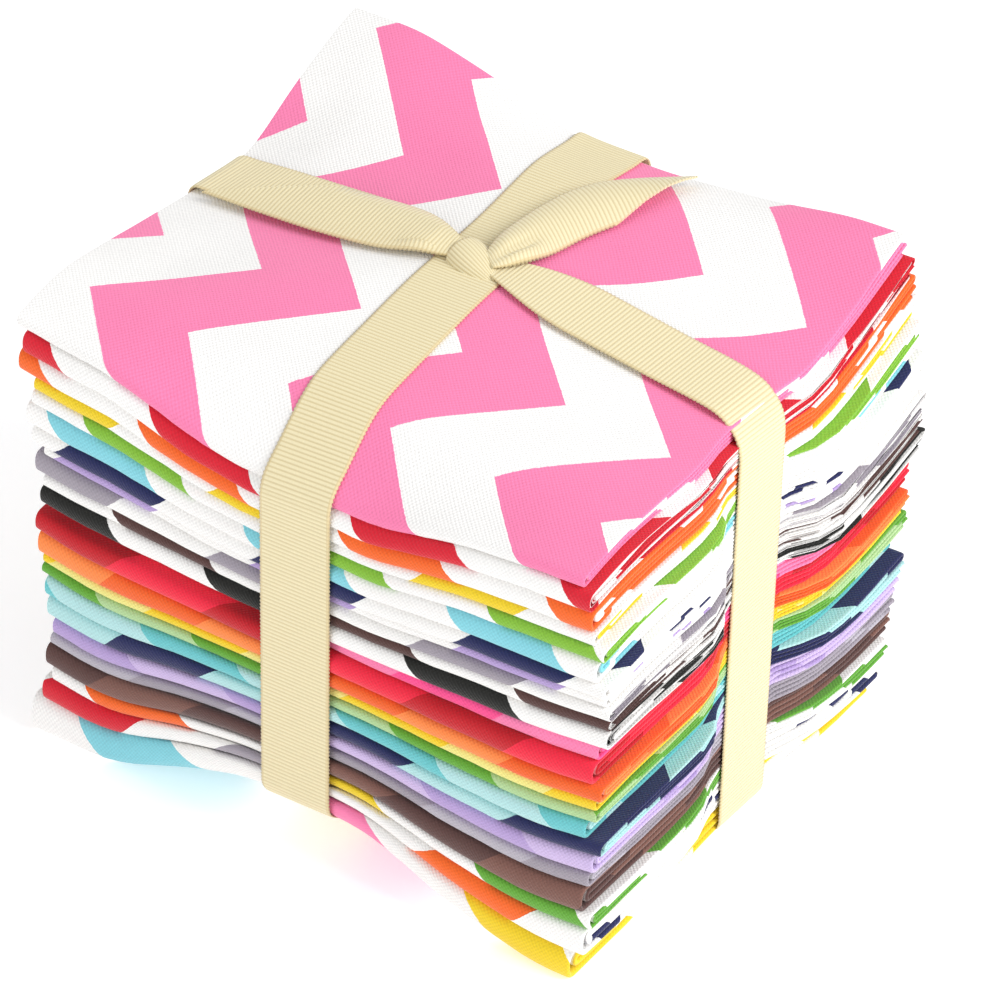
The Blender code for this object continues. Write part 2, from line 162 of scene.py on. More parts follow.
# One row for each cloth, from the bottom of the stack up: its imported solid, the dyes of its
# stripes and of its ground, where along the front fold a stripe ends, and which way the zigzag
# runs there as the print climbs the fold.
Cut = namedtuple("Cut", "node stripes ground ends_at lean")
CUTS = [
    Cut("cloth_24_multi_aqua",
        ("yellow", "red", "navy", "lime", "orange", "aqua", "pink"), "white", 18.2, -1),
    Cut("cloth_23_multi_red",
        ("orange", "navy", "lime", "yellow", "pink", "red", "gray"), "white", 3.8, 1),
    Cut("cloth_22_multi_white",
        ("leaf", "navy", "aqua", "pink", "red", "orange", "yellow"), "white", 18.7, -1),
    Cut("cloth_21_brown_tonal", ("deep brown",), "cocoa", 45.4, 1),
    Cut("cloth_20_gray_tonal", ("gray",), "pale gray", 30.0, 1),
    Cut("cloth_19_lavender_tonal", ("lavender",), "pale lavender", 5.8, -1),
    Cut("cloth_18_navy_aqua", ("navy",), "pale aqua", 24.6, 1),
    Cut("cloth_17_aqua_tonal", ("teal",), "pale aqua", 35.2, -1),
    Cut("cloth_16_green_tonal", ("leaf",), "pale leaf", 47.7, -1),
    Cut("cloth_15_yellow_tonal", ("yellow",), "butter", 34.3, 1),
    Cut("cloth_14_orange_tonal", ("deep orange",), "pale orange", 23.8, 1),
    Cut("cloth_13_red_tonal", ("deep red",), "bright red", 0.5, 1),
    Cut("cloth_12_pink_tonal", ("hot pink",), "pink", 47.0, 1),
    Cut("cloth_11_black", ("black",), "white", 1.3, -1),
    Cut("cloth_10_brown", ("brown",), "white", 27.0, -1),
    Cut("cloth_09_gray", ("gray",), "white", 0.1, 1),
    Cut("cloth_08_lavender", ("lavender",), "white", 11.1, 1),
    Cut("cloth_07_navy", ("navy",), "white", 12.5, 1),
    Cut("cloth_06_aqua", ("aqua",), "white", 12.0, -1),
    Cut("cloth_05_lime", ("lime",), "white", 20.8, -1),
    Cut("cloth_04_yellow", ("yellow",), "white", 0.8, 1),
    Cut("cloth_03_orange", ("orange",), "white", 35.4, -1),
    Cut("cloth_02_red", ("red",), "white", 38.5, -1),
    Cut("cloth_01_pink", ("pink",), "white", 23.0, 1),
]
TOP_CLOTH = "cloth_01_pink"
TOP_CLOTH_ZIGZAG_FROM = -33.3

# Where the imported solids' heights are read, and how far each reading is spread, as cloth rounds
# off what lies under it. The readings are carried on past the cloth's edges at the same slope.
READ_STEP = 2.0
READ_X = np.arange(-88.0, 88.1, READ_STEP)
READ_Y = np.arange(-74.0, 74.1, READ_STEP)
READ_WITHIN_Y = 56.0
ROUNDED_OVER = 4.0
SLOPE_OVER = 3


def eased(share):
    """A share from 0 to 1, easing in and out."""
    share = np.clip(share, 0.0, 1.0)
    return share * share * (3 - 2 * share)


def spread(places):
    """Weights that spread each reading over its neighbours."""
    apart = places[:, None] - places[None, :]
    weights = np.exp(-0.5 * (apart / ROUNDED_OVER) ** 2)
    return weights / weights.sum(1, keepdims=True)


def carried_on(places, found, readings):
    """Readings at every place, with the slope at each end carried on past it."""
    near = (readings[SLOPE_OVER] - readings[0]) / (found[SLOPE_OVER] - found[0])
    far = (readings[-1] - readings[-1 - SLOPE_OVER]) / (found[-1] - found[-1 - SLOPE_OVER])
    inside = np.interp(places, found, readings)
    before = np.minimum(places - found[0], 0) * near
    after = np.maximum(places - found[-1], 0) * far
    return inside + before + after


def heights_of(node):
    """Heights of a packed cloth's underside and top over the readings."""
    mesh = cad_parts[node].data
    solid = BVHTree.FromPolygons([v.co for v in mesh.vertices], [p.vertices for p in mesh.polygons])
    tables = []
    for start_m, down in ((-0.05, 1), (0.2, -1)):
        rows = []
        read_y = READ_Y[np.abs(READ_Y) <= READ_WITHIN_Y]
        for y in read_y:
            found, readings = [], []
            for x in READ_X:
                hit = solid.ray_cast(Vector((x * MM, y * MM, start_m)), Vector((0, 0, down)))[0]
                if hit is not None:
                    found.append(x)
                    readings.append(hit.z / MM)
            rows.append(carried_on(READ_X, found, readings))
        rows = np.array(rows)
        full = np.stack([carried_on(READ_Y, read_y, rows[:, k]) for k in range(len(READ_X))], axis=1)
        table = spread(READ_Y) @ full @ spread(READ_X).T
        towards_left = eased((-READ_X - SPRING_LEFT_FROM) / SPRING_LEFT_OVER)[None, :]
        towards_back = eased((READ_Y - SPRING_BACK_FROM) / SPRING_BACK_OVER)[:, None]
        tables.append(table * (1 + SPRING_UP / STACK_HEIGHT * towards_left * towards_back))
    return tables


def height_at(table, x, y):
    """Height between the readings round a place."""
    across = np.clip((x - READ_X[0]) / READ_STEP, 0, len(READ_X) - 1.001)
    along = np.clip((y - READ_Y[0]) / READ_STEP, 0, len(READ_Y) - 1.001)
    i, j = across.astype(int), along.astype(int)
    s, t = across - i, along - j
    near = table[j, i] * (1 - s) + table[j, i + 1] * s
    far = table[j + 1, i] * (1 - s) + table[j + 1, i + 1] * s
    return near * (1 - t) + far * t


def waver(places, wave, seed):
    """An uneven wave of about one unit either way, which differs from seed to seed."""
    turn = 2 * math.pi / wave
    return (
        np.sin(places * turn + 1.7 * seed)
        + 0.6 * np.sin(places * turn * 1.93 + 2.9 * seed)
        + 0.4 * np.sin(places * turn * 3.31 + 4.1 * seed)
    ) / 2


def stations(start, end, count):
    """Shares of a straight run, with one close beside each end to keep the fold there crisp."""
    beside = 0.004 * (1 if end > start else -1)
    inner = np.linspace(start, end, count)[1:-1]
    return [start, start + beside, *inner, end - beside, end]


# A column of the folded sheet: its share of the strip's width, how many plies up from the
# strip's middle it lies, how many plies past the strip's end, and which edge it follows.
Column = namedtuple("Column", "share up out edge")


def columns_of_strip(outer_count, inner_count):
    """Columns from one cut edge through the four plies of the strip to the other cut edge."""
    bend = [math.radians(a) for a in (-60, -30, 0, 30, 60)]
    outer, inner = PLIES / 2 - 0.5, 0.5
    columns = [Column(1.0, -outer - CUT_EDGE_THICK, 0.0, "first cut")]
    columns += [Column(s, -outer, 0.0, "first cut") for s in stations(1.0, 0.0, inner_count)]
    columns += [Column(0.0, outer * math.sin(a), -outer * math.cos(a), "fold") for a in bend]
    columns += [Column(s, outer, 0.0, "fold") for s in stations(0.0, 1.0, outer_count)]
    columns += [Column(1.0, 1 + inner * math.sin(-a), inner * math.cos(a), "fold") for a in bend]
    columns += [Column(s, inner, 0.0, "fold") for s in stations(1.0, 0.0, inner_count)]
    columns += [Column(0.0, inner * math.sin(-a), -inner * math.cos(a), "fold") for a in bend]
    columns += [Column(s, -inner, 0.0, "second cut") for s in stations(0.0, 1.0, inner_count)]
    columns += [Column(1.0, -inner - CUT_EDGE_THICK, 0.0, "second cut")]
    return columns


# A row of the folded sheet: where its run or bend is centred, in Y and in plies up from the
# cloth's underside, the bend's reach in plies, which side of the strip is outermost there (1 or
# -1), the direction of the reach, and the layer.
Row = namedtuple("Row", "y up reach side along_y along_z layer")


def rows_of_strip(front_bend, inner_bend, back_bend, top_count):
    """Rows from the strip's free end at the bottom, round the folds, to its free end inside."""
    middle = (PLIES * LAYERS - 1) / 2
    lower, second, third, upper = (1.5 + PLIES * layer for layer in range(LAYERS))
    lower_end, inner_end = back_bend - LOWER_END_BACK, back_bend + INNER_END_OUT
    rows = [Row(lower_end, lower + FREE_END_TURN, 0, 1, 0, -1, 0)]
    rows += [Row(y, lower, 0, 1, 0, -1, 0) for y in stations_mm(lower_end, front_bend, ALONG_LAYER)]
    for a in np.radians(np.arange(-80, 81, 16)):
        out = -FOLD_DEPTH * abs(math.cos(a)) ** FOLD_FULLNESS
        rise = math.copysign(abs(math.sin(a)) ** FOLD_FULLNESS, a)
        rows.append(Row(front_bend, middle, upper - middle, 1, out, rise, 0 if a < 0 else 3))
    rows += [Row(y, upper, 0, 1, 0, 1, 3) for y in stations_mm(front_bend, back_bend, top_count)]
    for a in np.radians((60, 30, 0, -30, -60)):
        rows.append(Row(back_bend, (upper + third) / 2, 2, 1, math.cos(a), math.sin(a), 2))
    rows += [Row(y, third, 0, 1, 0, -1, 2) for y in stations_mm(back_bend, inner_bend, ALONG_LAYER)]
    for a in np.radians((60, 30, 0, -30, -60)):
        rows.append(Row(inner_bend, middle, 2, -1, -math.cos(a), math.sin(a), 1))
    rows += [Row(y, second, 0, 1, 0, 1, 1) for y in stations_mm(inner_bend, inner_end, ALONG_LAYER)]
    rows += [Row(inner_end, second - FREE_END_TURN, 0, 1, 0, 1, 1)]
    return rows


def stations_mm(start, end, count):
    """The places of stations along a run in Y."""
    return [start + (end - start) * s for s in stations(0.0, 1.0, count)]


def run_length(first, second):
    """Distance along a line of points from its first one."""
    steps = np.hypot(np.diff(first), np.diff(second))
    return np.concatenate(([0.0], np.cumsum(steps)))


def drawn_by_tie(edge, y, drawn_to):
    """Where a cloth's right end lies at y, once the ribbon has drawn it in."""
    beside = np.clip(np.abs(y - DRAWN_AT_Y) - DRAWN_HALF, 0, None)
    return edge - np.maximum(edge - drawn_to, 0) * np.exp(-((beside / DRAWN_EASE) ** 2))


# The reading nearest to where the tie turns over the right end.
TIE_READING = (int(np.abs(READ_Y - DRAWN_AT_Y).argmin()), int(np.abs(READ_X - DRAWN_TO_X).argmin()))


def folded_cut(cut, under, top, seed):
    """The cloth as one folded sheet, each point marked with its place in the flat cut."""
    low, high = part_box(cut.node)
    left, right, front, back = low.x / MM, high.x / MM, low.y / MM, high.y / MM
    is_top = cut.node == TOP_CLOTH
    ply = float((top - under).mean() + 2 * PRESSED_TOGETHER) / (PLIES * LAYERS - 1)
    reach = ply * (PLIES * LAYERS - 1) / 2
    front_bend = front + FOLD_DEPTH * reach
    back_bend = back - 0.2 - 3.5 * ply
    outer_across = TOP_CLOTH_ACROSS if is_top else OUTER_ACROSS
    inner_across = TOP_CLOTH_ACROSS if is_top else INNER_ACROSS
    columns = columns_of_strip(outer_across, inner_across)
    top_along = TOP_CLOTH_ALONG if is_top else ALONG_LAYER
    rows = rows_of_strip(front_bend, front_bend + INNER_FOLD_BACK, back_bend, top_along)
    fold_to_right = cut.node not in CUT_EDGES_TO_RIGHT

    share, up, out = (np.array([c[k] for c in columns])[:, None] for k in range(3))
    up = up * LAYER_NESTLED
    run = (np.array([r[k] for r in rows])[None, :] for k in range(6))
    row_y, row_up, bend, side, along_y, along_z = run
    from_middle = bend + side * up
    y = row_y + from_middle * along_y * ply

    outer = PLIES / 2 - 0.5
    outside = bend + side * outer
    flat_y = run_length((row_y + outside * along_y * ply)[0], ((row_up + outside * along_z) * ply)[0])
    layers = [r.layer for r in rows]
    first_on_top = next(k for k, r in enumerate(rows) if r.layer == 3 and r.reach == 0)
    flat_y += front_bend - flat_y[first_on_top]
    edges = [c.edge for c in columns]
    start_of_top = next(k for k, c in enumerate(columns) if c.up == outer and c.share == 0.0)
    flat_x = run_length((left + share * (right - left) + out * ply)[:, 0], (up * ply)[:, 0])
    flat_x += left - flat_x[start_of_top]

    drawn_in = {
        "fold": 0.35 + 0.3 * waver(flat_y, 70.0, seed + 3),
        "first cut": 0.6 + 0.5 * waver(flat_y, 62.0, seed + 1),
        "second cut": 0.8 + 0.6 * waver(flat_y, 48.0, seed + 2),
    }
    from_cut_side = np.array([drawn_in[e] for e in edges])
    from_fold_side = 1.5 * ply + 0.3 + 0.25 * waver(flat_y, 66.0, seed + 4)[None, :]
    below_top = (surfaces[TOP_CLOTH][1] - (top + under) / 2)[TIE_READING]
    depth = np.clip(CORNER_ROUND - below_top, 0, CORNER_ROUND)
    rounding = CORNER_ROUND - math.sqrt(CORNER_ROUND ** 2 - depth ** 2)
    if fold_to_right:
        flat_x = left + right - flat_x
        right_edge = drawn_by_tie(right - from_fold_side, y, DRAWN_TO_X - 1.5 * ply - rounding)
        left_edge = left + from_cut_side
        x = left_edge + (1 - share) * (right_edge - left_edge) - out * ply
    else:
        right_edge = drawn_by_tie(right - from_cut_side, y, DRAWN_TO_X - rounding)
        left_edge = left + from_fold_side
        x = left_edge + share * (right_edge - left_edge) + out * ply

    near_front = np.exp(-np.clip(y - front, 0, None) / 7.0)
    ripple = 0.16 * waver(x, 47.0, seed) + 0.09 * waver(x, 15.0, seed + 5)
    set_back = SET_BACK.get(cut.node, 0.0) * eased(0.5 - x / 20.0)
    y = y + (ripple + set_back) * near_front
    foot = height_at(under, x, y) - PRESSED_TOGETHER
    pitch = (height_at(top, x, y) + PRESSED_TOGETHER - foot) / (PLIES * LAYERS - 1)
    z = foot + (row_up + from_middle * along_z) * pitch

    printed_side_up = {("first cut", 0), ("first cut", 2), ("second cut", 1), ("second cut", 3)}
    strength = np.ones(x.shape)
    for i, edge in enumerate(edges):
        for j, layer in enumerate(layers):
            if edge != "fold" and (edge, layer) not in printed_side_up:
                strength[i, j] = REVERSE_SHOWS
    strength[0, :] = strength[-1, :] = CUT_EDGE_SHOWS

    name = cut.node.replace("cloth_", "fat_quarter_")
    points = np.stack((x, y, z), axis=-1) * MM
    across, along = np.broadcast_to(flat_x[:, None], x.shape), np.broadcast_to(flat_y, x.shape)
    piece = grid_piece(name, points, np.stack((across, along, strength), axis=-1))
    fold_row = next(k for k, r in enumerate(rows) if r.reach > 2 and abs(r.along_z) < 0.01)
    return piece, float(flat_y[fold_row])


def grid_piece(name, points, places):
    """A mesh object from rows and columns of points, marked with their places in the flat cut."""
    count, width = points.shape[:2]
    index = np.arange(count * width).reshape(count, width)
    corners = (index[:-1, :-1], index[1:, :-1], index[1:, 1:], index[:-1, 1:])
    faces = np.stack(corners, axis=-1).reshape(-1, 4)
    mesh = bpy.data.meshes.new(name)
    mesh.from_pydata(points.reshape(-1, 3).tolist(), [], faces.tolist())
    mesh.shade_smooth()
    marked = mesh.attributes.new("flat_mm", "FLOAT_VECTOR", "POINT")
    marked.data.foreach_set("vector", places.reshape(-1).astype(np.float32))
    piece = bpy.data.objects.new(name, mesh)
    bpy.context.scene.collection.objects.link(piece)
    return piece


def linear(dye):
    """A dye's colour as the shader wants it, from its value on screen."""
    channels = [c / 255 for c in dye]
    return tuple(c / 12.92 if c <= 0.04045 else ((c + 0.055) / 1.055) ** 2.4 for c in channels) + (1.0,)


class Finish:
    """A material's nodes, made and joined one after another."""

    def __init__(self, name):
        self.material = bpy.data.materials.new(name)
        self.material.use_nodes = True
        self.nodes = self.material.node_tree.nodes
        self.links = self.material.node_tree.links
        self.shader = self.nodes["Principled BSDF"]

    def give(self, socket, value):
        """Join a socket to another node's output, or set it."""
        if isinstance(value, bpy.types.NodeSocket):
            self.links.new(value, socket)
        else:
            socket.default_value = value

    def sum_of(self, kind, first, second=0.0):
        """A Math node."""
        node = self.nodes.new("ShaderNodeMath")
        node.operation = kind
        self.give(node.inputs[0], first)
        self.give(node.inputs[1], second)
        return node.outputs[0]

    def flat_place(self):
        """Across, along and strength of print, as marked on the piece."""
        marked = self.nodes.new("ShaderNodeAttribute")
        marked.attribute_name = "flat_mm"
        split = self.nodes.new("ShaderNodeSeparateXYZ")
        self.links.new(marked.outputs["Vector"], split.inputs[0])
        return marked.outputs["Vector"], split.outputs[0], split.outputs[1], split.outputs[2]

    def cloudy(self, place, scale, detail=2.0):
        """Uneven grey, from 0 to 1, at a number of patches to the millimetre."""
        noise = self.nodes.new("ShaderNodeTexNoise")
        self.give(noise.inputs["Vector"], place)
        noise.inputs["Scale"].default_value = scale
        noise.inputs["Detail"].default_value = detail
        return noise.outputs["Fac"]

    def blended(self, amount, first, second, kind="MIX"):
        """A colour mixed from two."""
        node = self.nodes.new("ShaderNodeMix")
        node.data_type = "RGBA"
        node.blend_type = kind
        self.give(node.inputs["Factor"], amount)
        self.give(node.inputs["A"], first)
        self.give(node.inputs["B"], second)
        return node.outputs["Result"]

    def raised(self, height, depth_mm, strength):
        """Relief in the surface, as a normal."""
        bump = self.nodes.new("ShaderNodeBump")
        bump.inputs["Strength"].default_value = strength
        bump.inputs["Distance"].default_value = depth_mm * MM
        self.give(bump.inputs["Height"], height)
        return bump.outputs["Normal"]


# How much the weave, its thick threads and soft clouds lighten the cloth from its deepest shade.
WEAVE_SHADE, SLUB_SHADE, CLOUD_SHADE, DEEPEST_SHADE = 0.08, 0.12, 0.08, 0.89


def printed_cotton(cut, zigzag_from):
    """Plain-woven cotton printed with a zigzag: stripes an inch wide, each turning every inch."""
    cotton = Finish("cotton_" + cut.node[9:])
    place, across, along, strength = cotton.flat_place()
    climb = cotton.sum_of("SUBTRACT", along, zigzag_from - STRIPE / 2)
    zigzag = cotton.sum_of("SUBTRACT", cotton.sum_of("PINGPONG", climb, STRIPE), STRIPE / 2)
    unsteady = cotton.sum_of("MULTIPLY", cotton.sum_of("SUBTRACT", cotton.cloudy(place, 1.6), 0.5), 0.5)
    shifted = cotton.sum_of("MULTIPLY", zigzag, float(cut.lean))
    from_end = cotton.sum_of("SUBTRACT", cotton.sum_of("SUBTRACT", across, cut.ends_at), shifted)
    in_repeats = cotton.sum_of("DIVIDE", cotton.sum_of("ADD", from_end, unsteady), 2 * STRIPE)
    is_stripe = cotton.sum_of("GREATER_THAN", cotton.sum_of("FRACT", in_repeats), 0.5)

    ground = linear(DYES[cut.ground])
    if len(cut.stripes) == 1:
        stripe = linear(DYES[cut.stripes[0]])
    else:
        share = cotton.sum_of("DIVIDE", cotton.sum_of("FLOOR", in_repeats), float(len(cut.stripes)))
        order = cotton.nodes.new("ShaderNodeValToRGB")
        order.color_ramp.interpolation = "CONSTANT"
        for k, dye in enumerate(cut.stripes):
            stops = order.color_ramp.elements
            stop = stops[0] if k == 0 else stops.new(k / len(cut.stripes))
            stop.color = linear(DYES[dye])
        order.color_ramp.elements.remove(order.color_ramp.elements[-1])
        nudged = cotton.sum_of("FRACT", cotton.sum_of("ADD", share, 0.02))
        cotton.give(order.inputs["Fac"], nudged)
        stripe = order.outputs["Color"]
    print_colour = cotton.blended(is_stripe, ground, stripe)
    reverse = cotton.blended(0.55, ground, linear(DYES["white"]))
    colour = cotton.blended(strength, reverse, print_colour)

    warp = cotton.sum_of("SINE", cotton.sum_of("MULTIPLY", across, math.pi / THREAD_PITCH))
    weft = cotton.sum_of("SINE", cotton.sum_of("MULTIPLY", along, math.pi / THREAD_PITCH))
    weave = cotton.sum_of("MULTIPLY", warp, weft)
    slubs = cotton.cloudy(place, 2.2, 3.0)
    cloud = cotton.cloudy(place, 0.06)
    woven = cotton.sum_of("MULTIPLY", weave, WEAVE_SHADE)
    shade = cotton.sum_of("ADD", woven, cotton.sum_of("MULTIPLY", slubs, SLUB_SHADE))
    shade = cotton.sum_of("ADD", shade, cotton.sum_of("MULTIPLY", cloud, CLOUD_SHADE))
    shade = cotton.sum_of("ADD", shade, DEEPEST_SHADE)
    grey = cotton.nodes.new("ShaderNodeCombineColor")
    for socket in grey.inputs[:3]:
        cotton.give(socket, shade)
    shaded = cotton.blended(1.0, colour, grey.outputs[0], "MULTIPLY")
    cotton.give(cotton.shader.inputs["Base Color"], shaded)
    cotton.shader.inputs["Roughness"].default_value = 0.88
    cotton.shader.inputs["Sheen Weight"].default_value = 0.25
    cotton.shader.inputs["Sheen Roughness"].default_value = 0.5
    cotton.shader.inputs["Specular IOR Level"].default_value = 0.25
    relief = cotton.sum_of("ADD", cotton.sum_of("MULTIPLY", weave, 0.5), slubs)
    cotton.give(cotton.shader.inputs["Normal"], cotton.raised(relief, 0.12, 0.8))
    return cotton.material


surfaces = {cut.node: heights_of(cut.node) for cut in CUTS}
for number, cut in enumerate(CUTS):
    cloth, middle_of_fold = folded_cut(cut, *surfaces[cut.node], seed=1.0 + 3.7 * number)
    zigzag_from = TOP_CLOTH_ZIGZAG_FROM if cut.node == TOP_CLOTH else middle_of_fold
    cloth.data.materials.append(printed_cotton(cut, zigzag_from))
    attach(cloth, "root")
    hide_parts(cut.node)

# The ribbon is one length of ribbed grosgrain, 17 mm wide, here as the two bands that it makes
# round the stack. Each is drawn tight over the edges and lies on the cloth. Its ribs cross it
# from one woven edge to the other.
RIBBON_WIDTH = 17.0
RIBBON_THICK = 0.45
RIB_PITCH = 0.95
RIB_HEIGHT = 0.09
RIB_SAMPLES = 4
LIES_ABOVE = 0.45
WOVEN_EDGE = 0.75
BAND_TURN = 8.0

RIBBON_SHEEN = 0.25
RIBBON_CREAM = (238, 226, 186)
# The next colour is painted shade for the grooves between the ribs, not a dye of the ribbon.
RIBBON_GROOVE_SHADE_PAINTED = (208, 188, 138)
RIBBON_EDGE = (216, 194, 142)


def grosgrain():
    """Cream ribbed ribbon: painted shade darkens the grooves between the ribs, and the woven edges are
    a little darker.
    """
    ribbon = Finish("grosgrain")
    place, across, along, _ = ribbon.flat_place()
    rib = ribbon.sum_of("COSINE", ribbon.sum_of("MULTIPLY", along, 2 * math.pi / RIB_PITCH))
    groove = ribbon.sum_of("MULTIPLY", ribbon.sum_of("SUBTRACT", 1.0, rib), 0.5)
    deep = ribbon.sum_of("POWER", groove, 2.0)
    thread = ribbon.cloudy(place, 3.0, 3.0)
    # Painted shade: the cream is darkened towards the groove colour where the ribs dip.
    groove_shade_painted = ribbon.sum_of("MULTIPLY", deep, 0.75)
    colour = ribbon.blended(groove_shade_painted, linear(RIBBON_CREAM), linear(RIBBON_GROOVE_SHADE_PAINTED))
    off_middle = ribbon.sum_of("ABSOLUTE", across)
    near_edge = ribbon.sum_of("GREATER_THAN", off_middle, RIBBON_WIDTH / 2 - WOVEN_EDGE)
    colour = ribbon.blended(ribbon.sum_of("MULTIPLY", near_edge, 0.6), colour, linear(RIBBON_EDGE))
    patchy = ribbon.sum_of("ADD", ribbon.sum_of("MULTIPLY", thread, 0.16), 0.90)
    grey = ribbon.nodes.new("ShaderNodeCombineColor")
    for socket in grey.inputs[:3]:
        ribbon.give(socket, patchy)
    shaded = ribbon.blended(1.0, colour, grey.outputs[0], "MULTIPLY")
    ribbon.give(ribbon.shader.inputs["Base Color"], shaded)
    ribbon.shader.inputs["Roughness"].default_value = 0.55
    ribbon.shader.inputs["Sheen Weight"].default_value = RIBBON_SHEEN
    ribbon.shader.inputs["Specular IOR Level"].default_value = 0.4
    fine = ribbon.sum_of("SINE", ribbon.sum_of("MULTIPLY", across, 2 * math.pi / 0.5))
    relief = ribbon.sum_of("ADD", ribbon.sum_of("MULTIPLY", fine, 0.3), thread)
    ribbon.give(ribbon.shader.inputs["Normal"], ribbon.raised(relief, 0.05, 0.5))
    return ribbon.material


GROSGRAIN = grosgrain()

# The ribbon's own section, as shares of its half width and half thickness: the ribbed face, one
# edge, the face that lies on the cloth, and the other edge.
FACE = (-0.94, -0.89, -0.7, -0.47, -0.23, 0.0, 0.23, 0.47, 0.7, 0.89, 0.94)
UNDER_FACE = (0.94, 0.5, 0.0, -0.5, -0.94)
SECTION = [(w, 1.0) for w in FACE] + [(1.0, 0.0)] + [(w, -1.0) for w in UNDER_FACE] + [(-1.0, 0.0)]


def evenly(line, spacing, is_ring):
    """A line of points put at even steps along itself, and its length."""
    ends = np.vstack((line, line[:1])) if is_ring else line
    steps = np.linalg.norm(np.diff(ends, axis=0), axis=1)
    walked = np.concatenate(([0.0], np.cumsum(steps)))
    ribs = max(1, round(walked[-1] / spacing))
    wanted = np.linspace(0.0, walked[-1], ribs * RIB_SAMPLES + 1)
    if is_ring:
        wanted = wanted[:-1]
    return np.stack([np.interp(wanted, walked, ends[:, k]) for k in range(3)], axis=1), walked[-1]


def rounded(line, how_far, spacing, is_ring):
    """A line with its corners rounded off."""
    reach = int(3 * how_far / spacing)
    weights = np.exp(-0.5 * (np.arange(-reach, reach + 1) * spacing / how_far) ** 2)
    weights /= weights.sum()
    padded = np.pad(line, ((reach, reach), (0, 0)), mode="wrap" if is_ring else "edge")
    return np.stack([np.convolve(padded[:, k], weights, mode="valid") for k in range(3)], axis=1)


def directions_along(line, is_ring):
    """Unit steps along a line."""
    if is_ring:
        steps = np.roll(line, -1, axis=0) - np.roll(line, 1, axis=0)
    else:
        steps = np.gradient(line, axis=0)
    return steps / np.linalg.norm(steps, axis=1, keepdims=True)


def ribbed_strip(name, line, sideways, half_widths, is_ring, shape=None):
    """A strip of ribbon along a line of points, rib by rib.

    sideways is the unit direction across it at each point. shape takes a share of the half width
    and gives the extra move there at each point of the line.
    """
    forwards = directions_along(line, is_ring)
    outwards = np.cross(sideways, forwards)
    outwards /= np.linalg.norm(outwards, axis=1, keepdims=True)
    count = len(line)
    wave = np.cos(2 * math.pi * np.arange(count) / RIB_SAMPLES)
    columns, places = [], []
    for w, t in SECTION:
        plain = abs(w) < 0.9
        lift = t * (RIBBON_THICK / 2 + (RIB_HEIGHT * wave if plain else 0.0)) * np.ones(count)
        reach = w * half_widths + (0.12 * wave * np.sign(w) if abs(w) == 1.0 else 0.0)
        point = line + sideways * reach[:, None] + outwards * lift[:, None]
        if shape is not None:
            point = point + shape(w)
        columns.append(point)
        along = np.arange(count) * RIB_PITCH / RIB_SAMPLES
        places.append(np.stack((w * RIBBON_WIDTH / 2 * np.ones(count), along, np.ones(count)), axis=1))
    columns.append(columns[0])
    points, marks = np.stack(columns, axis=1), np.stack(places + places[:1], axis=1)
    return strip_piece(name, points, marks, is_ring)


def strip_piece(name, points, marks, is_ring):
    """A closed ribbon mesh from rings of points, capped where it has cut ends."""
    count, around = points.shape[0], points.shape[1] - 1
    index = np.arange(count * around).reshape(count, around)
    rows = np.vstack((index, index[:1])) if is_ring else index
    wrapped = np.hstack((rows, rows[:, :1]))
    faces = np.stack((wrapped[:-1, :-1], wrapped[:-1, 1:], wrapped[1:, 1:], wrapped[1:, :-1]), axis=-1)
    faces = faces.reshape(-1, 4).tolist()
    if not is_ring:
        for row, turn in ((index[0], 1), (index[-1], -1)):
            faces.append([int(v) for v in row][::turn])
    mesh = bpy.data.meshes.new(name)
    mesh.from_pydata((points[:, :-1].reshape(-1, 3) * MM).tolist(), [], faces)
    mesh.shade_smooth()
    marked = mesh.attributes.new("flat_mm", "FLOAT_VECTOR", "POINT")
    marked.data.foreach_set("vector", marks[:, :-1].reshape(-1).astype(np.float32))
    piece = bpy.data.objects.new(name, mesh)
    bpy.context.scene.collection.objects.link(piece)
    piece.data.materials.append(GROSGRAIN)
    return piece


top_cloth_top = surfaces[TOP_CLOTH][1]
lowest_under = surfaces[CUTS[0].node][0]
fronts = [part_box(cut.node)[0].y / MM for cut in CUTS]
backs = [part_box(cut.node)[1].y / MM for cut in CUTS]
lefts = [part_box(cut.node)[0].x / MM for cut in CUTS]

# A band is on the face below the first of these heights and on the top above the second.
FACE_BELOW, TOP_ABOVE = 85.0, 95.0
# How far a band stands off the edge that it turns over, and where its upright runs start.
LIFT_AT_EDGE = 0.4
RUN_BELOW_TOP, RUN_ABOVE_UNDER = 0.5, 1.5


def band_round_stack(start, end, turns, over_other):
    """The middle line of a band: over the top from start to end in plan, down, under and up.

    turns gives the radius of its turn over the stack's edge at the start and at the end.
    """
    start, end = np.array(start), np.array(end)
    reach = np.linalg.norm(end - start)
    share = np.linspace(0.0, 1.0, 240)
    plan = start + (end - start) * share[:, None]
    lift = LIES_ABOVE + over_other
    over = height_at(top_cloth_top, plan[:, 0], plan[:, 1]) + lift
    beneath = height_at(lowest_under, plan[:, 0], plan[:, 1]) - LIES_ABOVE
    for radius, from_edge in ((turns[0], share * reach), (turns[1], (1 - share) * reach)):
        into = np.clip(radius - from_edge, 0, radius)
        lifted = LIFT_AT_EDGE * eased(1.5 - from_edge / (2 * radius))
        over = over + lifted - (radius - np.sqrt(radius ** 2 - into ** 2))
    inside = (share * reach > 1.0) & ((1 - share) * reach > 1.0)
    top_line = np.column_stack((plan, over))
    under_line = np.column_stack((plan[inside], beneath[inside]))[::-1]
    far_heights = np.linspace(over[-1] - RUN_BELOW_TOP, beneath[-1] + RUN_ABOVE_UNDER, 60)
    near_heights = np.linspace(beneath[0] + RUN_ABOVE_UNDER, over[0] - RUN_BELOW_TOP, 60)
    far_side = [(end[0], end[1], z) for z in far_heights]
    near_side = [(start[0], start[1], z) for z in near_heights]
    return np.vstack((top_line, far_side, under_line, near_side))


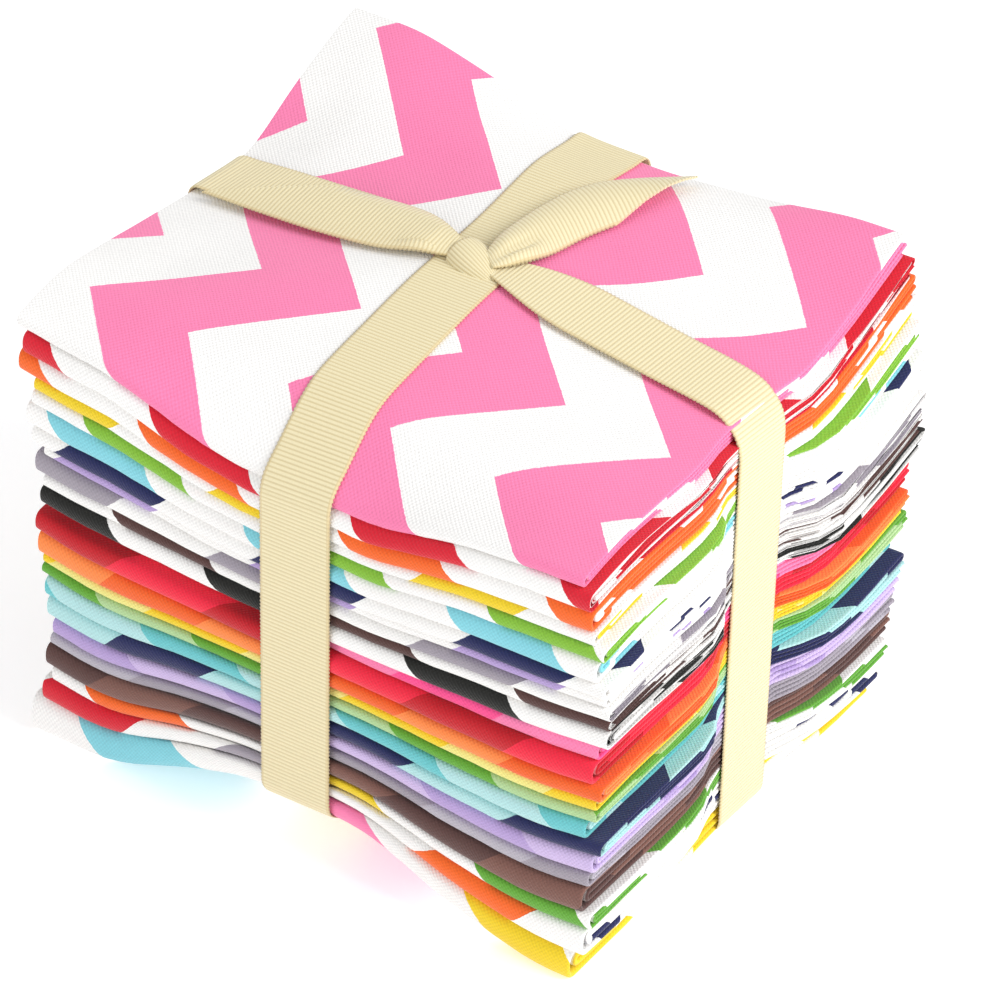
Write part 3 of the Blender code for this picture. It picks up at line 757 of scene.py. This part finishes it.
def tied_band(name, node, start, end, turns, over_other, half_width_at):
    """One band of the tie, as a closed ribbed strip that follows the cloth under it."""
    sideways = np.array((end[1] - start[1], start[0] - end[0], 0.0))
    sideways /= np.linalg.norm(sideways)
    rough = band_round_stack(start, end, turns, over_other)
    line, _ = evenly(rough, RIB_PITCH, True)
    line = rounded(line, 1.2, RIB_PITCH / RIB_SAMPLES, True)
    line, length = evenly(line, RIB_PITCH, True)
    across = np.tile(sideways, (len(line), 1))
    half = half_width_at(line)
    upright_step = np.array((0.0, 0.0, 1.0))
    on_top = np.clip((line[:, 2] - FACE_BELOW) / (TOP_ABOVE - FACE_BELOW), 0, 1)

    def follow(w):
        aside = line + across * (w * half)[:, None]
        there = height_at(top_cloth_top, aside[:, 0], aside[:, 1])
        here = height_at(top_cloth_top, line[:, 0], line[:, 1])
        return upright_step * ((there - here) * on_top)[:, None]

    band = ribbed_strip(name, line, across, half, True, shape=follow)
    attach(band, "root")
    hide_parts(node)
    return band


# Where the knot is, and how the crosswise band spreads from its gathered share of the width.
KNOT_X, KNOT_Y = -4.9, 6.7
GATHERED_TO, GATHERED_WITHIN, SPREADS_OVER = 0.30, 3.0, 26.0


def even_width(line):
    """The band that runs front to back keeps its whole width."""
    return np.full(len(line), RIBBON_WIDTH / 2)


def gathered_at_knot(line):
    """The band that runs side to side is drawn together as it comes to the knot."""
    on_top = line[:, 2] > TOP_ABOVE
    away = (np.abs(line[:, 0] - KNOT_X) - GATHERED_WITHIN) / SPREADS_OVER
    spreading = (1 - GATHERED_TO) * np.sin(np.clip(away, 0, 1) * math.pi / 2)
    share = np.where(on_top, GATHERED_TO + spreading, 1.0)
    return RIBBON_WIDTH / 2 * share


clear_front, clear_back = min(fronts) - 0.5, max(backs) + 0.4
clear_left, drawn_right = min(lefts) - 0.4, DRAWN_TO_X + 0.8
tied_band("ribbon_band_front_to_back", "ribbon_front_to_back", (-1.9, clear_front), (-6.9, clear_back),
          (2.5, 2.5), 0.0, even_width)
tied_band("ribbon_band_side_to_side", "ribbon_side_to_side", (clear_left, 7.4), (drawn_right, 3.7),
          (2.0, BAND_TURN), 0.75, gathered_at_knot)

# The knot: one turn of the ribbon over the crossing, pulled tight. Its far side is spread, and
# its near side is gathered to a point, so that the ribs run together there.
WRAP_MIDDLE = np.array((-2.6, 3.9, 114.5))
WRAP_AXIS = np.array((0.945, -0.32, -0.06))
WRAP_REACH = 5.2
WRAP_RISE = 4.4
WRAP_HALF_WIDTH = 6.4
WRAP_FROM, WRAP_TO = -112.0, 118.0


def wrap_arch():
    """The turn's middle line, as steps away from the middle of the knot."""
    over = np.cross((0.0, 0.0, 1.0), WRAP_AXIS)
    over /= np.linalg.norm(over)
    angles = np.radians(np.linspace(WRAP_FROM, WRAP_TO, 60))
    sideways = over * (WRAP_REACH * np.sin(angles))[:, None]
    return sideways + np.array((0, 0, WRAP_RISE)) * np.cos(angles)[:, None]


arch, wrap_length = evenly(wrap_arch(), RIB_PITCH, False)
wrap_side = np.tile(WRAP_AXIS / np.linalg.norm(WRAP_AXIS), (len(arch), 1))


def gathered_turn(w):
    """Draws the turn's section together towards its near end."""
    towards = (w + 1) / 2
    size = 0.80 + 0.55 * towards - 1.18 * towards ** 2
    return arch * (size - 1) + np.array((0.0, 0.0, -0.3 - 0.9 * towards))


wrap = ribbed_strip("ribbon_turn_of_knot", arch + WRAP_MIDDLE, wrap_side,
                    np.full(len(arch), WRAP_HALF_WIDTH), False, shape=gathered_turn)
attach(wrap, "root")
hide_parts("ribbon_knot")

# The two free ends. Each leaves the knot gathered, spreads to its whole width, lies lightly on
# the cloth and ends in a long slanted cut. Their two edges are given at a few places in plan,
# with how far each lies above the top cloth.
Edge = namedtuple("Edge", "x y above")
LEFT_TAIL_BACK = [Edge(-7.5, 5.6, 4.0), Edge(-12.7, 8.4, 4.2), Edge(-19.7, 11.6, 3.4),
                  Edge(-28.7, 12.4, 3.0), Edge(-41.0, 10.9, 3.0), Edge(-56.0, 10.9, 2.8),
                  Edge(-70.0, 11.0, 2.6)]
LEFT_TAIL_FRONT = [Edge(-8.0, 2.8, 2.0), Edge(-11.8, 1.0, 1.4), Edge(-17.6, -1.6, 1.2),
                   Edge(-27.5, -3.4, 1.4), Edge(-41.0, -4.4, 1.8), Edge(-55.5, -4.0, 2.0),
                   Edge(-70.0, -3.4, 2.2)]
LEFT_TAIL_CUT = (Edge(-69.2, -3.4, 0), Edge(-41.2, 10.9, 0))
RIGHT_TAIL_BACK = [Edge(-2.6, 4.6, 2.6), Edge(-3.6, 9.0, 3.4), Edge(-4.0, 14.6, 3.6),
                   Edge(-3.4, 22.2, 3.4), Edge(-1.4, 32.2, 3.0), Edge(2.4, 39.8, 2.8),
                   Edge(8.6, 48.4, 2.4), Edge(17.0, 57.4, 2.0)]
RIGHT_TAIL_FRONT = [Edge(0.2, 2.4, 2.4), Edge(3.4, 5.6, 1.8), Edge(5.8, 10.0, 1.1),
                    Edge(7.0, 15.6, 0.9), Edge(9.0, 24.0, 0.9), Edge(13.2, 33.0, 1.0),
                    Edge(19.4, 42.2, 1.1), Edge(27.0, 50.0, 1.2)]
RIGHT_TAIL_CUT = (Edge(13.0, 33.6, 0), Edge(17.4, 56.6, 0))
TAIL_EDGE_POINTS = 200
# The crease at a tail's root: how far along it lies and reaches, and where across the tail its
# lip and the hollow beside the lip are, as shares of the half width.
CREASE_AT, CREASE_REACH = 9.0, 5.0
LIP_AT, LIP_REACH = 0.7, 0.28
HOLLOW_AT, HOLLOW_REACH, HOLLOW_DEPTH = 0.3, 0.2, 0.8


def eased_line(edges):
    """A smooth line through the given places along one edge of a tail."""
    given = np.array([(e.x, e.y, e.above) for e in edges])
    steps = np.linalg.norm(np.diff(given[:, :2], axis=0), axis=1)
    walked = np.concatenate(([0.0], np.cumsum(steps)))
    wanted = np.linspace(0, walked[-1], TAIL_EDGE_POINTS)
    fine = np.stack([np.interp(wanted, walked, given[:, k]) for k in range(3)], axis=1)
    spacing = walked[-1] / TAIL_EDGE_POINTS
    fine = rounded(np.vstack((fine[:1], fine, fine[-1:])), 3.0, spacing, False)[1:-1]
    fine[:, 2] += height_at(top_cloth_top, fine[:, 0], fine[:, 1])
    return fine


def free_end(name, node, back_edges, front_edges, cut, ridge_height, ridge_from, ridge_to, root_lip):
    """A tail of the tie between its two edges, with a soft ridge along it and a lip at its root.

    The ridge runs from ridge_from to ridge_to, as shares of the half width, from root to tip.
    """
    back_line, front_line = eased_line(back_edges), eased_line(front_edges)
    middle, length = evenly((back_line + front_line) / 2, RIB_PITCH, False)
    count = len(middle)
    share = np.linspace(0.0, 1.0, count)
    own = np.linspace(0.0, 1.0, len(back_line))
    back_line = np.stack([np.interp(share, own, back_line[:, k]) for k in range(3)], axis=1)
    front_line = np.stack([np.interp(share, own, front_line[:, k]) for k in range(3)], axis=1)
    middle = (back_line + front_line) / 2
    across = front_line - back_line
    half = np.linalg.norm(across, axis=1) / 2
    across /= (2 * half)[:, None]
    ridge_at = ridge_from + (ridge_to - ridge_from) * np.clip(share / 0.55, 0, 1)
    spread_out = np.clip(share / 0.12, 0, 1)

    def bulge(w):
        side = np.where(w > ridge_at, 1 - ridge_at, 1 + ridge_at)
        tent = np.clip(1 - np.abs(w - ridge_at) / np.maximum(side, 0.05), 0, 1)
        ridge = ridge_height * (tent * (2 - tent)) * spread_out
        walked = share * length
        crease = root_lip * np.exp(-((walked - CREASE_AT) / CREASE_REACH) ** 2)
        lip = crease * math.exp(-((w - LIP_AT) / LIP_REACH) ** 2)
        hollow = HOLLOW_DEPTH * crease * math.exp(-((w - HOLLOW_AT) / HOLLOW_REACH) ** 2)
        return np.array((0.0, 0.0, 1.0)) * (ridge + lip - hollow)[:, None]

    tail = ribbed_strip(name, middle, across, half, False, shape=bulge)
    cut_off(tail, cut)
    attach(tail, "root")
    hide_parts(node)
    return tail


def cut_off(tail, cut):
    """Cuts a tail with one straight slanted snip, seen from above, and closes the cut end."""
    (x0, y0, _), (x1, y1, _) = cut
    body = bmesh.new()
    body.from_mesh(tail.data)
    away = Vector((y1 - y0, x0 - x1, 0.0)).normalized()
    root = min(body.verts, key=lambda v: (v.co.xy - Vector((KNOT_X, KNOT_Y)) * MM).length)
    if (root.co - Vector((x0, y0, 0)) * MM).dot(away) > 0:
        away.negate()
    everything = body.verts[:] + body.edges[:] + body.faces[:]
    on_cut = Vector((x0, y0, 0)) * MM
    bmesh.ops.bisect_plane(body, geom=everything, plane_co=on_cut, plane_no=away, clear_outer=True)
    open_edges = [e for e in body.edges if e.is_boundary]
    for face in bmesh.ops.holes_fill(body, edges=open_edges, sides=0)["faces"]:
        face.smooth = False
    for edge in open_edges:
        edge.smooth = False
    body.to_mesh(tail.data)
    body.free()


free_end("ribbon_end_left", "ribbon_tail_left", LEFT_TAIL_BACK, LEFT_TAIL_FRONT, LEFT_TAIL_CUT,
         ridge_height=1.6, ridge_from=0.2, ridge_to=-0.9, root_lip=2.0)
free_end("ribbon_end_right", "ribbon_tail_right", RIGHT_TAIL_BACK, RIGHT_TAIL_FRONT, RIGHT_TAIL_CUT,
         ridge_height=1.8, ridge_from=-0.2, ridge_to=0.1, root_lip=1.8)
